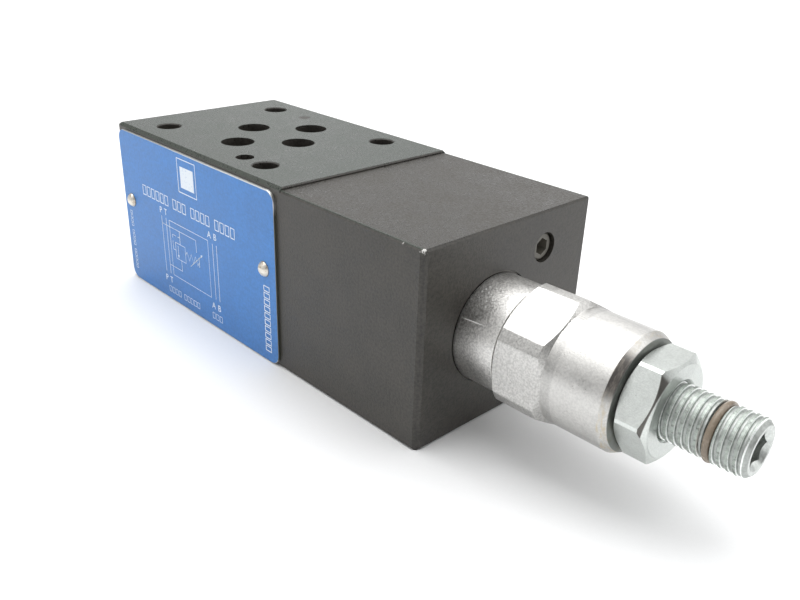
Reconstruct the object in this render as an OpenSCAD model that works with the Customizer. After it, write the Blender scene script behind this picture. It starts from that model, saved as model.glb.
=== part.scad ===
// Hydraulic sandwich valve: a ported block with a screw-in relief cartridge.
// Millimetres, +Z up. The origin is the centre of the bolt pattern on the bottom face,
// and +X runs from the port face towards the adjusting screw.

/* [Body] */
// Overall length of the body
body_l = 105.05; // [95:0.05:120]
// Width of the body
body_w = 46; // [44:0.5:50]
// Height of the body at the port face
body_h = 40; // [38:0.5:50]
// Distance from the bolt pattern's centre to the rear end
rear_l = 31.25; // [26:0.25:36]
// Length of the port face
port_face_l = 65.6; // [58:0.1:70]
// Depth of the step down from the port face to the cartridge block
face_drop = 0.6; // [0.2:0.1:2]
// Chamfer along the edges of the port face
edge_break = 0.7; // [0.2:0.1:2]
// Chamfer on the other edges of the body
side_break = 0.4; // [0.2:0.1:1]
// Chamfer on the worn upright edge beside the nameplate
corner_break = 1; // [0.4:0.1:2]

/* [Port pattern] */
// Bolt spacing along the body
bolt_pitch_x = 40.5; // [38:0.25:43]
// Bolt spacing across the body, rear pair
rear_pitch_y = 31; // [29:0.25:33]
// Bolt spacing across the body, front pair
front_pitch_y = 32.5; // [31:0.25:34]
// Diameter of the bolt holes
bolt_hole_d = 5.5; // [4.5:0.1:6.5]
// Chamfer at the mouth of each bolt hole
bolt_hole_break = 0.25; // [0.1:0.05:0.5]
// Diameter of the ports
port_d = 7.5; // [6:0.1:8]
// Distance of port A from the rear bolts
port_a_x = 12.7; // [11:0.1:13]
// Distance of the pressure and tank ports from the rear bolts
port_pt_x = 21.5; // [20.5:0.1:22.5]
// Distance of port B from the rear bolts
port_b_x = 30.2; // [30:0.1:32]
// Offset of the pressure and tank ports from the middle plane
port_pt_y = 10.4; // [10:0.1:11.5]
// Distance of the locating hole from the rear bolts
pin_hole_x = 33; // [32:0.25:34]
// Offset of the locating hole from the middle plane
pin_hole_y = 16.25; // [15.5:0.25:17]
// Diameter of the locating hole
pin_hole_d = 4; // [3:0.1:4.5]
// Depth of the locating hole
pin_hole_l = 4; // [3:0.5:8]
// Diameter of the seal recess round each port
seal_recess_d = 12.7; // [12:0.1:13]
// Depth of the seal recesses
seal_recess_h = 1.3; // [1:0.05:1.6]
// Cord thickness of the port seals
port_seal_cord = 1.78; // [1.7:0.01:1.9]

/* [Cartridge cavity] */
// Offset of the cartridge axis from the middle plane, towards the nameplate
axis_offset = 3.9; // [0:0.1:6]
// Height of the cartridge axis
axis_z = 19.5; // [17:0.1:22]
// Diameter of the threaded mouth
mouth_d = 22; // [20:0.1:24]
// Length of the threaded mouth
mouth_l = 16; // [14:0.5:20]
// Diameter of the bore for the cage
cage_bore_d = 18; // [16:0.1:19]
// Depth of the cavity from the end face
cavity_l = 39; // [36:0.5:44]
// Diameter of the tank groove in the cage bore
tank_groove_d = 20.5; // [19.5:0.1:22]

/* [Passages] */
// Diameter of the pressure passage
pressure_d = 5.5; // [4:0.1:6]
// Offset of the pressure passage from the cartridge axis
pressure_offset = 4.3; // [2:0.1:5]
// Diameter of the tank passage
tank_d = 5; // [4:0.1:5.5]
// Offset of the tank passage from the middle plane
tank_y = 9.7; // [8:0.1:11]
// Depth of the tank passage below the top of the cartridge block
tank_drop = 7.5; // [6:0.1:9]
// Diameter of the slanted drilling between cavity and tank passage
slant_d = 4; // [3:0.1:5]
// Thread diameter of the passage plug
plug_d = 6; // [5.6:0.1:8]
// Length of the passage plug
plug_l = 6; // [4:0.5:10]
// Chamfer at the plug's ends
plug_chamfer = 0.5; // [0.2:0.1:0.8]
// Depth of the plug below the end face
plug_sink = 0.7; // [0.2:0.1:2]
// Hex socket of the plug, across flats
plug_socket_af = 3; // [2:0.5:3.5]
// Depth of the plug's hex socket
plug_socket_l = 3; // [2:0.5:4]

/* [Cage and poppet] */
// Wall of the cage round the bonnet's nose
cage_wall = 1.75; // [1.2:0.05:2.2]
// Wall of the cage round the seat
seat_wall = 2.45; // [2:0.05:2.6]
// Distance of the seat behind the cage's front end
seat_recess = 1.5; // [1:0.1:3]
// Length of the seat
seat_l = 4.5; // [4:0.1:6]
// Bore of the seat
seat_bore_d = 6; // [4:0.1:7]
// Chamfer at the front of the seat's bore
seat_lead = 0.75; // [0.3:0.05:1.2]
// Diameter of the cage's tank windows
window_d = 4.5; // [3:0.1:5]
// Distance of the windows behind the seat
window_offset = 4.15; // [3.5:0.05:5]
// Diameter of the chamber that holds the spring
chamber_d = 11.2; // [10:0.1:12]
// Width of the poppet's cone band outside the seat's edge
cone_band = 1.4; // [0.6:0.1:1.6]
// Distance of the poppet's back from the bonnet's nose
poppet_back = 0.7; // [0.3:0.1:2]
// Length of the poppet's guide collar
guide_l = 3; // [2:0.1:4]

/* [Spring and piston] */
// Thickness of the spring plate
plate_t = 2; // [1:0.1:3]
// Length of the pilots inside the spring
pilot_l = 3.5; // [2:0.1:5]
// Chamfer at the pilots' ends
pilot_lead = 0.9; // [0.3:0.1:1.5]
// Wire thickness of the spring
wire_d = 2; // [1.4:0.1:2.2]
// Number of coils
coils = 10; // [7:1:11]
// Gap between the closed coils at the spring's ends
coil_gap = 0.06; // [0.02:0.02:0.2]
// Gap between the spring and the chamber's wall
spring_gap = 0.4; // [0.2:0.05:0.8]
// Length of the adjuster piston without its pilot
piston_l = 8; // [7:0.1:11]
// Room behind the piston for backing the screw out
piston_room = 1.5; // [1.4:0.1:3]
// Width of the piston's seal groove
piston_groove_w = 2.3; // [2.1:0.1:2.6]
// Cord thickness of the piston's seal
piston_seal_cord = 1.6; // [1.5:0.05:1.8]
// How much the piston's groove squeezes its seal
piston_squeeze = 0.32; // [0.2:0.02:0.4]

/* [Bonnet] */
// Gap round the neck at the mouth
neck_gap = 0.4; // [0.1:0.05:0.8]
// Length of the neck inside the mouth
neck_inside_l = 3; // [1:0.5:5]
// Length of the neck outside the body
neck_l = 9.2; // [6:0.1:14]
// Hexagon across flats
hex_af = 22; // [21:0.1:25]
// Diameter that the hexagon's corners are turned to
hex_turn_d = 24.2; // [23:0.1:27]
// How much smaller the hexagon's round faces are than its flats
hex_face_chamfer = 0.8; // [0.2:0.1:2]
// Length of the hexagon
hex_l = 10.3; // [7:0.1:14]
// Diameter of the sleeve
sleeve_d = 21.5; // [19:0.1:23]
// Length of the sleeve
sleeve_l = 12.6; // [9:0.1:16]
// Drop of the chamfer at the sleeve's outer end
sleeve_chamfer = 0.9; // [0.3:0.1:1.5]
// Length of the chamfer at the sleeve's outer end
sleeve_chamfer_l = 1.4; // [0.3:0.1:2.5]
// Length of the threaded wall at the sleeve's outer end
end_wall = 8; // [6:0.5:10]
// Length of the nose that screws into the cage
nose_l = 6.3; // [4:0.1:7]
// Distance of the bonnet's seal groove from its shoulder
bonnet_groove_at = 1.5; // [1:0.1:3]
// Width of each seal groove that holds a ring and its backup
gland_w = 3.4; // [3.3:0.05:4]
// Depth of each seal groove
gland_h = 1.35; // [1.2:0.05:1.4]
// Cord thickness of the cartridge seals
seal_cord = 1.78; // [1.6:0.01:1.9]
// Width of the backup rings
backup_w = 1.3; // [1:0.05:1.4]

/* [Adjusting screw] */
// Crest diameter of the screw
screw_d = 9.9; // [7.9:0.1:10]
// Length of the screw that stands out of the lock nut
screw_show = 13.9; // [10:0.1:18]
// Chamfer at the screw's ends
screw_chamfer = 0.8; // [0.3:0.1:1.2]
// Hex socket of the screw, across flats
socket_af = 5; // [4:0.5:6]
// Depth of the screw's hex socket
socket_l = 5; // [3:0.5:7]
// Distance of the screw's ring from its outer end
ring_at = 6.4; // [4:0.1:8]
// Cord thickness of the screw's ring
ring_cord = 1.2; // [1:0.1:1.6]
// Gap on each side of the screw's ring in its groove
ring_side_gap = 0.25; // [0.1:0.05:0.6]
// Height of the screw's ring above the thread crests
ring_proud = 0.2; // [0:0.05:0.4]
// Lock nut across flats
nut_af = 17; // [16:0.5:19]
// Thickness of the lock nut
nut_l = 6; // [4:0.5:9]
// How much smaller the nut's round faces are than its flats
nut_chamfer = 1; // [0.2:0.1:2]
// Chamfer at the mouths of the nut's thread
nut_lead = 0.5; // [0.2:0.1:1]

/* [Nameplate] */
// Width of the nameplate
plate_w = 63.4; // [58:0.1:64]
// Height of the nameplate
plate_h = 38.6; // [30:0.1:38.6]
// Thickness of the nameplate
plate_thick = 0.6; // [0.3:0.1:1.2]
// Corner radius of the nameplate
plate_corner = 2.5; // [1:0.1:5]
// Distance of the plate's rear edge from the body's rear end
plate_rear = 0.8; // [0.2:0.1:3]
// Height of the plate's lower edge above the bottom face
plate_low = 0.2; // [0.2:0.1:5]
// Distance of the rear drive rivet from the plate's rear end
rivet_edge = 3.6; // [2.8:0.1:8]
// Distance of the front drive rivet from the plate's front end
rivet_front = 4; // [2.8:0.1:8]
// Height of the rivets above the plate's lower edge
rivet_z = 21.3; // [10:0.1:28]
// Diameter of the rivet heads
rivet_head_d = 3.4; // [3:0.1:5]
// Height of the rivet heads
rivet_head_h = 1.1; // [0.8:0.1:1.6]
// Diameter of the rivet shanks
rivet_d = 2.4; // [1.8:0.1:2.8]
// Length of the rivet shanks in the body
rivet_l = 5; // [3:0.5:7]

/* [Fits] */
// Radial clearance of turned pieces and threads
slip = 0.05; // [0.02:0.01:0.09]
// Gap that keeps seals, rivets and the seat clear of what holds them
seal_gap = 0.02; // [0.01:0.01:0.05]
// Gap between the bonnet's shoulder and the end of the mouth
shoulder_gap = 0.15; // [0.05:0.05:0.3]

/* [Hidden] */
$fn = 96;
// A cut runs this far past the face that it opens
cut = 0.5;
// Half angle of a drill's point
drill_point = 59;
// Chamfer angle of the hexagons
hex_chamfer = 30;
// Radius of the ball that left the hardness dent, the dent's width and its place
dent_ball_r = 5;
dent_d = 3.3;
dent_x = 11.4;
dent_y = 16.25;
// Sides of the spring's wire and steps in each coil
wire_sides = 8;
coil_steps = 16;

// Body and pattern places
rear_x = -rear_l;
face_x = body_l - rear_l;
step_x = rear_x + port_face_l;
block_h = body_h - face_drop;
bolt_x = bolt_pitch_x / 2;
port_a = [port_a_x - bolt_x, 0];
port_b = [port_b_x - bolt_x, 0];
port_p = [port_pt_x - bolt_x, -port_pt_y];
port_t = [port_pt_x - bolt_x, port_pt_y];
ports = [port_a, port_b, port_p, port_t];
bolts = [
    [-bolt_x, -rear_pitch_y / 2], [-bolt_x, rear_pitch_y / 2],
    [bolt_x, -front_pitch_y / 2], [bolt_x, front_pitch_y / 2],
];
pin_hole = [pin_hole_x - bolt_x, -pin_hole_y];
dent = [dent_x - bolt_x, dent_y];
axis_y = -axis_offset;
tank_z = block_h - tank_drop;
tank_angle = atan2(tank_z - axis_z, tank_y - axis_y);
tank_reach = norm([tank_y - axis_y, tank_z - axis_z]);

// Places along the cartridge, from the cavity's floor outwards
floor_x = face_x - cavity_l;
mouth_x = face_x - mouth_l;
shoulder_x = mouth_x + shoulder_gap;
seat_x = floor_x + seat_recess;
seat_edge_x = seat_x + seat_l;
window_x = seat_edge_x + window_offset;
nose_x = shoulder_x - nose_l;
poppet_x = nose_x - poppet_back;
spring_x = poppet_x + plate_t;
neck_x = face_x - neck_inside_l;
hex_x = face_x + neck_l;
sleeve_x = hex_x + hex_l;
bonnet_x = sleeve_x + sleeve_l;
chamber_x = bonnet_x - end_wall;
piston_x = chamber_x - piston_room;
piston_face_x = piston_x - piston_l;
nut_x = bonnet_x + nut_l;
screw_x = nut_x + screw_show;
ring_x = screw_x - ring_at;

// Radii of the cartridge
cage_r = cage_bore_d / 2 - slip;
nose_r = cage_r - cage_wall - slip;
seat_r = cage_r - seat_wall;
shank_r = mouth_d / 2 - slip;
neck_r = mouth_d / 2 - neck_gap;
chamber_r = chamber_d / 2;
spring_r = chamber_r - spring_gap - wire_d / 2;
pilot_r = spring_r - wire_d / 2 - slip - spring_gap / 2;
screw_r = screw_d / 2;
ring_r = screw_r + ring_proud - ring_cord / 2;

// Nameplate places
plate_x = rear_x + plate_rear;
plate_mid_x = plate_x + plate_w / 2;
side_y = -body_w / 2;
rivet_height = plate_low + rivet_z;

// Corner points of a rectangle with chamfers at its foot and at its top
function chamfered(low, high, foot, top) = [
    [low[0] + foot, low[1]], [high[0] - foot, low[1]], [high[0], low[1] + foot],
    [high[0], high[1] - top], [high[0] - top, high[1]], [low[0] + top, high[1]],
    [low[0], high[1] - top], [low[0], low[1] + foot],
];

// Stands children that are drawn along Z on the cartridge axis, pointing along +X
module along_axis(x = 0) {
    translate([x, axis_y, axis_z]) rotate([0, 90, 0]) children();
}

// Turned piece on the cartridge axis, from [radius, x] points
module turned(points) {
    along_axis() rotate_extrude() polygon(points);
}

// Drilling along +X from x = 0 back to a pointed end at x = -length
module drilling(d, length) {
    tip = d / 2 / tan(drill_point);
    rotate([0, -90, 0]) cylinder(d = d, h = length);
    translate([-length, 0, 0]) rotate([0, -90, 0]) cylinder(d1 = d, d2 = 0, h = tip);
}

// Sealing ring squeezed flat between an inner and an outer wall, centred at x
module squeezed_ring(inner_r, outer_r, cord, x) {
    along_axis(x) rotate_extrude() intersection() {
        translate([(inner_r + outer_r) / 2, 0]) circle(d = cord);
        translate([inner_r, -cord]) square([outer_r - inner_r, 2 * cord]);
    }
}

// Hexagonal prism on the cartridge axis with its corners turned down and both ends chamfered
module turned_hex(x, length, af, turn_d, face_d) {
    drop = (turn_d - face_d) / 2 * tan(hex_chamfer);
    along_axis(x) intersection() {
        cylinder(d = af / cos(30), h = length, $fn = 6);
        rotate_extrude() polygon([
            [0, 0], [face_d / 2, 0], [turn_d / 2, drop], [turn_d / 2, length - drop],
            [face_d / 2, length], [0, length],
        ]);
    }
}

// Hexagonal key socket that opens at x, with a drilled foot; a turn of 0 puts a corner on top
module key_socket(x, af, depth, turn = 0) {
    corner_d = af / cos(30);
    foot_l = af / 4;
    along_axis(x - depth) rotate(turn) cylinder(d = corner_d, h = depth + cut, $fn = 6);
    along_axis(x - depth - foot_l) cylinder(d1 = 0, d2 = af, h = foot_l);
}

// Outer form of the body: side view, plan and the two end views
module body_block() {
    intersection() {
        translate([0, body_w / 2, 0]) rotate([90, 0, 0]) linear_extrude(body_w) polygon([
            [rear_x + side_break, 0], [face_x - side_break, 0], [face_x, side_break],
            [face_x, block_h - side_break], [face_x - side_break, block_h],
            [step_x, block_h], [step_x, body_h - face_drop / 2],
            [step_x - face_drop / 2, body_h], [rear_x + edge_break, body_h],
            [rear_x, body_h - edge_break], [rear_x, side_break],
        ]);
        linear_extrude(body_h)
            polygon([
                [rear_x + side_break, -body_w / 2], [face_x - corner_break, -body_w / 2],
                [face_x, corner_break - body_w / 2], [face_x, body_w / 2 - side_break],
                [face_x - side_break, body_w / 2], [rear_x + side_break, body_w / 2],
                [rear_x, body_w / 2 - side_break], [rear_x, side_break - body_w / 2],
            ]);
        union() {
            end_view(rear_x, step_x, body_h, edge_break);
            end_view(step_x - edge_break, face_x, block_h, side_break);
        }
    }
}

// Prism along X with the body's end view
module end_view(x0, x1, h, top_break) {
    translate([x0, 0, 0]) rotate([90, 0, 90]) linear_extrude(x1 - x0)
        polygon(chamfered([-body_w / 2, 0], [body_w / 2, h], side_break, top_break));
}

module bolt_holes() {
    mouth = bolt_hole_d + 2 * bolt_hole_break;
    for (p = bolts) translate(p) {
        translate([0, 0, -cut]) cylinder(d = bolt_hole_d, h = body_h + 2 * cut);
        cylinder(d1 = mouth, d2 = bolt_hole_d, h = bolt_hole_break);
        translate([0, 0, body_h - bolt_hole_break])
            cylinder(d1 = bolt_hole_d, d2 = mouth, h = bolt_hole_break);
    }
}

module port_holes() {
    for (p = ports) translate(p) {
        translate([0, 0, -cut]) cylinder(d = port_d, h = body_h + 2 * cut);
        translate([0, 0, -cut]) cylinder(d = seal_recess_d, h = seal_recess_h + cut);
    }
    translate([pin_hole[0], pin_hole[1], body_h - pin_hole_l])
        cylinder(d = pin_hole_d, h = pin_hole_l + cut);
    translate([dent[0], dent[1], body_h + sqrt(dent_ball_r ^ 2 - (dent_d / 2) ^ 2)])
        sphere(dent_ball_r);
}

module cavity() {
    groove_w = window_d + 2 * slip;
    turned([
        [0, floor_x], [cage_bore_d / 2, floor_x], [cage_bore_d / 2, window_x - groove_w / 2],
        [tank_groove_d / 2, window_x - groove_w / 2], [tank_groove_d / 2, window_x + groove_w / 2],
        [cage_bore_d / 2, window_x + groove_w / 2], [cage_bore_d / 2, mouth_x],
        [mouth_d / 2, mouth_x], [mouth_d / 2, face_x + cut], [0, face_x + cut],
    ]);
}

// Pressure passage from the cavity's floor to port P, and the tank passage with its
// plug thread and the slanted drilling that joins it to the cavity
module passages() {
    translate([floor_x + cut, axis_y - pressure_offset, axis_z])
        drilling(pressure_d, floor_x + cut - port_p[0]);
    translate([face_x + cut, tank_y, tank_z]) drilling(tank_d, face_x + cut - port_t[0]);
    translate([face_x + cut, tank_y, tank_z]) drilling(plug_d, plug_l + plug_sink + cut);
    slant_rise = tank_reach - tank_groove_d / 2;
    slant_run = 2 * slant_rise;
    slant_l = norm([slant_rise, slant_run]) + slant_d;
    translate([window_x - slant_run, tank_y, tank_z]) rotate([tank_angle, 0, 0])
        rotate([0, 0, -atan2(slant_rise, slant_run)]) rotate([0, 90, 0])
            cylinder(d = slant_d, h = slant_l);
}

module rivet_places() {
    for (x = [plate_x + rivet_edge, plate_x + plate_w - rivet_front])
        translate([x, side_y, rivet_height])
            rotate([90, 0, 0]) children();
}

module valve_body() {
    color("#5a5850") difference() {
        body_block();
        bolt_holes();
        port_holes();
        cavity();
        passages();
        rivet_places() translate([0, 0, -rivet_l - cut])
            cylinder(d = rivet_d + 2 * seal_gap, h = rivet_l + 2 * cut);
    }
}

// Flat outline with round corners
module rounded_plate(w, h, r) {
    square([w - 2 * r, h], center = true);
    square([w, h - 2 * r], center = true);
    for (x = [-1, 1], y = [-1, 1])
        translate([x * (w / 2 - r), y * (h / 2 - r)]) circle(r);
}

module nameplate() {
    color("#4f7fc4") difference() {
        translate([plate_mid_x, side_y, plate_low + plate_h / 2]) rotate([90, 0, 0])
            linear_extrude(plate_thick) rounded_plate(plate_w, plate_h, plate_corner);
        rivet_places() translate([0, 0, -cut])
            cylinder(d = rivet_d + 2 * seal_gap, h = plate_thick + 2 * cut);
    }
}

// Domed drive rivets
module nameplate_rivets() {
    dome_r = ((rivet_head_d / 2) ^ 2 + rivet_head_h ^ 2) / (2 * rivet_head_h);
    color("#d8d6d0") rivet_places() {
        translate([0, 0, -rivet_l]) cylinder(d = rivet_d, h = rivet_l + plate_thick + rivet_head_h / 2);
        translate([0, 0, plate_thick]) intersection() {
            translate([0, 0, rivet_head_h - dome_r]) sphere(dome_r);
            cylinder(d = rivet_head_d + cut, h = 2 * rivet_head_h);
        }
    }
}

// Socket set screw that closes the tank passage
module passage_plug() {
    r = plug_d / 2 - slip;
    end = face_x - plug_sink;
    color("#4c4a45") translate([0, tank_y - axis_y, tank_z - axis_z]) difference() {
        turned([
            [0, end - plug_l], [r - plug_chamfer, end - plug_l], [r, end - plug_l + plug_chamfer],
            [r, end - plug_chamfer], [r - plug_chamfer, end], [0, end],
        ]);
        key_socket(end, plug_socket_af, plug_socket_l);
    }
}

// One ring in each port's recess, squeezed level with the bottom face
module port_o_rings() {
    outer_r = seal_recess_d / 2 - slip;
    color("#262626") for (p = ports) translate([p[0], p[1], seal_gap]) rotate_extrude()
        intersection() {
            translate([outer_r - port_seal_cord / 2, seal_recess_h / 2 - seal_gap])
                circle(d = port_seal_cord);
            square([outer_r, seal_recess_h - 2 * seal_gap]);
        }
}

// Sleeve that holds the seat at its front and screws onto the bonnet's nose
module valve_cage() {
    gland_r = cage_bore_d / 2 - gland_h;
    gland_x = cage_gland_x();
    color("#8f8d86") difference() {
        turned([
            [seat_r, floor_x], [cage_r, floor_x], [cage_r, gland_x], [gland_r, gland_x],
            [gland_r, gland_x + gland_w], [cage_r, gland_x + gland_w], [cage_r, shoulder_x],
            [nose_r + slip, shoulder_x], [nose_r + slip, nose_x - shoulder_gap],
            [chamber_r, nose_x - shoulder_gap], [chamber_r, seat_edge_x], [seat_r, seat_edge_x],
        ]);
        for (turn = [0, 90]) along_axis(window_x) rotate([0, 0, turn]) rotate([90, 0, 0])
            cylinder(d = window_d, h = cage_bore_d + cut, center = true);
    }
}

// The cage's seal groove sits over the seat, midway along it
function cage_gland_x() = (floor_x + seat_edge_x - gland_w) / 2;

module cage_o_ring() {
    outer_r = cage_bore_d / 2 - seal_gap;
    x = cage_gland_x() + seal_gap + seal_cord / 2;
    color("#262626") squeezed_ring(outer_r - gland_h + 2 * seal_gap, outer_r, seal_cord, x);
}

// Flat ring that backs a seal, from x onwards
module backup_ring(outer_r, x) {
    inner_r = outer_r - gland_h + 2 * seal_gap;
    turned([[inner_r, x], [outer_r, x], [outer_r, x + backup_w], [inner_r, x + backup_w]]);
}

module cage_backup_ring() {
    color("#ece8dc")
        backup_ring(cage_bore_d / 2 - seal_gap, cage_gland_x() + gland_w - backup_w - seal_gap);
}

// Hardened seat with a sharp sealing edge at its rear
module valve_seat() {
    r = seat_r - seal_gap;
    color("#a7a59c") turned([
        [seat_bore_d / 2 + seat_lead, seat_x], [r, seat_x], [r, seat_edge_x],
        [seat_bore_d / 2, seat_edge_x], [seat_bore_d / 2, seat_x + seat_lead],
    ]);
}

// Cone that closes the seat, a stem and a collar that runs in the cage
module poppet() {
    edge_r = seat_bore_d / 2;
    head_r = edge_r + cone_band;
    tip_r = edge_r / 2;
    stem_r = edge_r;
    front = seat_edge_x + seal_gap;
    color("#b4b2aa") turned([
        [0, front + tip_r - edge_r], [tip_r, front + tip_r - edge_r], [head_r, front + cone_band],
        [head_r, front + 2 * cone_band], [stem_r, front + 2 * cone_band],
        [stem_r, poppet_x - guide_l], [chamber_r - slip, poppet_x - guide_l],
        [chamber_r - slip, poppet_x], [0, poppet_x],
    ]);
}

// Disc on the poppet's back with a pilot for the spring
module front_spring_plate() {
    r = chamber_r - spring_gap;
    color("#9a988f") turned([
        [0, poppet_x], [r, poppet_x], [r, spring_x], [pilot_r, spring_x],
        [pilot_r, spring_x + pilot_l - pilot_lead], [pilot_r - pilot_lead, spring_x + pilot_l],
        [0, spring_x + pilot_l],
    ]);
}

// Height of the wire's centre along the spring: closed end coils and open coils between
function coil_rise(t, length) =
    let (
        closed = wire_d + coil_gap,
        open = (length - wire_d - 2 * closed) / (coils - 2)
    )
    t < 1 ? t * closed
    : t > coils - 1 ? closed + (coils - 2) * open + (t - coils + 1) * closed
    : closed + (t - 1) * open;

// Coil spring between the spring plate and the adjuster piston
module relief_spring() {
    length = piston_face_x - spring_x - 2 * slip;
    rings = coils * coil_steps;
    points = [for (i = [0:rings], k = [0:wire_sides - 1])
        let (
            turn = 360 * i / coil_steps,
            side = 360 * k / wire_sides,
            r = spring_r + wire_d / 2 * cos(side),
            z = wire_d / 2 + coil_rise(i / coil_steps, length) + wire_d / 2 * sin(side)
        )
        [r * cos(turn), r * sin(turn), z]];
    skin = [for (i = [0:rings - 1], k = [0:wire_sides - 1])
        let (
            a = i * wire_sides + k,
            b = i * wire_sides + (k + 1) % wire_sides
        )
        [a, b, b + wire_sides, a + wire_sides]];
    first_end = [for (k = [0:wire_sides - 1]) wire_sides - 1 - k];
    last_end = [for (k = [0:wire_sides - 1]) rings * wire_sides + k];
    color("#6f6d66") along_axis(spring_x + slip) polyhedron(points, concat(skin, [first_end, last_end]));
}

// Piston that carries the spring's rear end and is pushed by the screw
module adjuster_piston() {
    r = chamber_r - slip;
    groove_r = piston_groove_r();
    groove_x = piston_face_x + (piston_l - piston_groove_w) / 2;
    color("#9a988f") turned([
        [0, piston_face_x - pilot_l], [pilot_r - pilot_lead, piston_face_x - pilot_l],
        [pilot_r, piston_face_x - pilot_l + pilot_lead], [pilot_r, piston_face_x], [r, piston_face_x],
        [r, groove_x], [groove_r, groove_x], [groove_r, groove_x + piston_groove_w],
        [r, groove_x + piston_groove_w], [r, piston_x], [0, piston_x],
    ]);
}

// Floor of the piston's seal groove
function piston_groove_r() = chamber_r - piston_seal_cord + piston_squeeze;

module piston_o_ring() {
    x = piston_face_x + piston_l / 2;
    color("#262626")
        squeezed_ring(piston_groove_r() + seal_gap, chamber_r - seal_gap, piston_seal_cord, x);
}

// One turned piece: nose, threaded shank, neck, hexagon and sleeve, with the spring's
// chamber inside and the thread for the adjusting screw in its outer end
module adjuster_bonnet() {
    gland_r = mouth_d / 2 - gland_h;
    gland_x = shoulder_x + bonnet_groove_at;
    hex_face_d = hex_af - hex_face_chamfer;
    color("#c9cac6") difference() {
        union() {
            turned([
                [0, nose_x], [nose_r, nose_x], [nose_r, shoulder_x], [shank_r, shoulder_x],
                [shank_r, gland_x], [gland_r, gland_x], [gland_r, gland_x + gland_w],
                [shank_r, gland_x + gland_w], [shank_r, neck_x], [neck_r, neck_x],
                [neck_r, hex_x + hex_l / 2], [0, hex_x + hex_l / 2],
            ]);
            turned_hex(hex_x, hex_l, hex_af, hex_turn_d, hex_face_d);
            turned([
                [0, hex_x + hex_l / 2], [sleeve_d / 2, hex_x + hex_l / 2],
                [sleeve_d / 2, bonnet_x - sleeve_chamfer_l],
                [sleeve_d / 2 - sleeve_chamfer, bonnet_x], [0, bonnet_x],
            ]);
        }
        turned([
            [0, nose_x - cut], [chamber_r, nose_x - cut], [chamber_r, chamber_x],
            [screw_r + slip, chamber_x], [screw_r + slip, bonnet_x + cut], [0, bonnet_x + cut],
        ]);
    }
}

module bonnet_o_ring() {
    outer_r = mouth_d / 2 - seal_gap;
    x = shoulder_x + bonnet_groove_at + seal_gap + seal_cord / 2;
    color("#262626") squeezed_ring(outer_r - gland_h + 2 * seal_gap, outer_r, seal_cord, x);
}

module bonnet_backup_ring() {
    x = shoulder_x + bonnet_groove_at + gland_w - backup_w - seal_gap;
    color("#ece8dc") backup_ring(mouth_d / 2 - seal_gap, x);
}

// Threaded rod at its crest diameter, with a ring groove and a hex socket
module adjusting_screw() {
    groove_w = ring_cord + 2 * ring_side_gap;
    groove_r = ring_r - ring_cord / 2 - seal_gap;
    color("#bfc2ba") difference() {
        turned([
            [0, piston_x], [screw_r - screw_chamfer, piston_x], [screw_r, piston_x + screw_chamfer],
            [screw_r, ring_x - groove_w / 2], [groove_r, ring_x - groove_w / 2],
            [groove_r, ring_x + groove_w / 2], [screw_r, ring_x + groove_w / 2],
            [screw_r, screw_x - screw_chamfer], [screw_r - screw_chamfer, screw_x], [0, screw_x],
        ]);
        key_socket(screw_x, socket_af, socket_l, turn = 30);
    }
}

module screw_o_ring() {
    color("#96796a") along_axis(ring_x) rotate_extrude() translate([ring_r, 0]) circle(d = ring_cord);
}

module lock_nut() {
    hole_r = screw_r + slip;
    color("#c4c7c1") difference() {
        translate([0, axis_y, axis_z]) rotate([30, 0, 0]) translate([0, -axis_y, -axis_z])
            turned_hex(bonnet_x, nut_l, nut_af, nut_af / cos(30), nut_af - nut_chamfer);
        turned([
            [0, bonnet_x - cut], [hole_r + nut_lead + cut, bonnet_x - cut], [hole_r, bonnet_x + nut_lead],
            [hole_r, nut_x - nut_lead], [hole_r + nut_lead + cut, nut_x + cut], [0, nut_x + cut],
        ]);
    }
}

valve_body();
nameplate();
nameplate_rivets();
passage_plug();
port_o_rings();
valve_cage();
cage_o_ring();
cage_backup_ring();
valve_seat();
poppet();
front_spring_plate();
relief_spring();
adjuster_piston();
piston_o_ring();
adjuster_bonnet();
bonnet_o_ring();
bonnet_backup_ring();
adjusting_screw();
screw_o_ring();
lock_nut();
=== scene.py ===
"""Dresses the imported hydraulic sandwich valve: a phosphated block, a printed nameplate, a plated
bonnet with its lock nut and threaded adjusting screw, and the inner pieces, on a pale studio floor."""

import math
from contextlib import contextmanager

import bpy
from bpy.props import FloatProperty, FloatVectorProperty, IntProperty, PointerProperty
from bpy.types import Operator, Panel, PropertyGroup
from mathutils import Matrix, Vector


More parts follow.
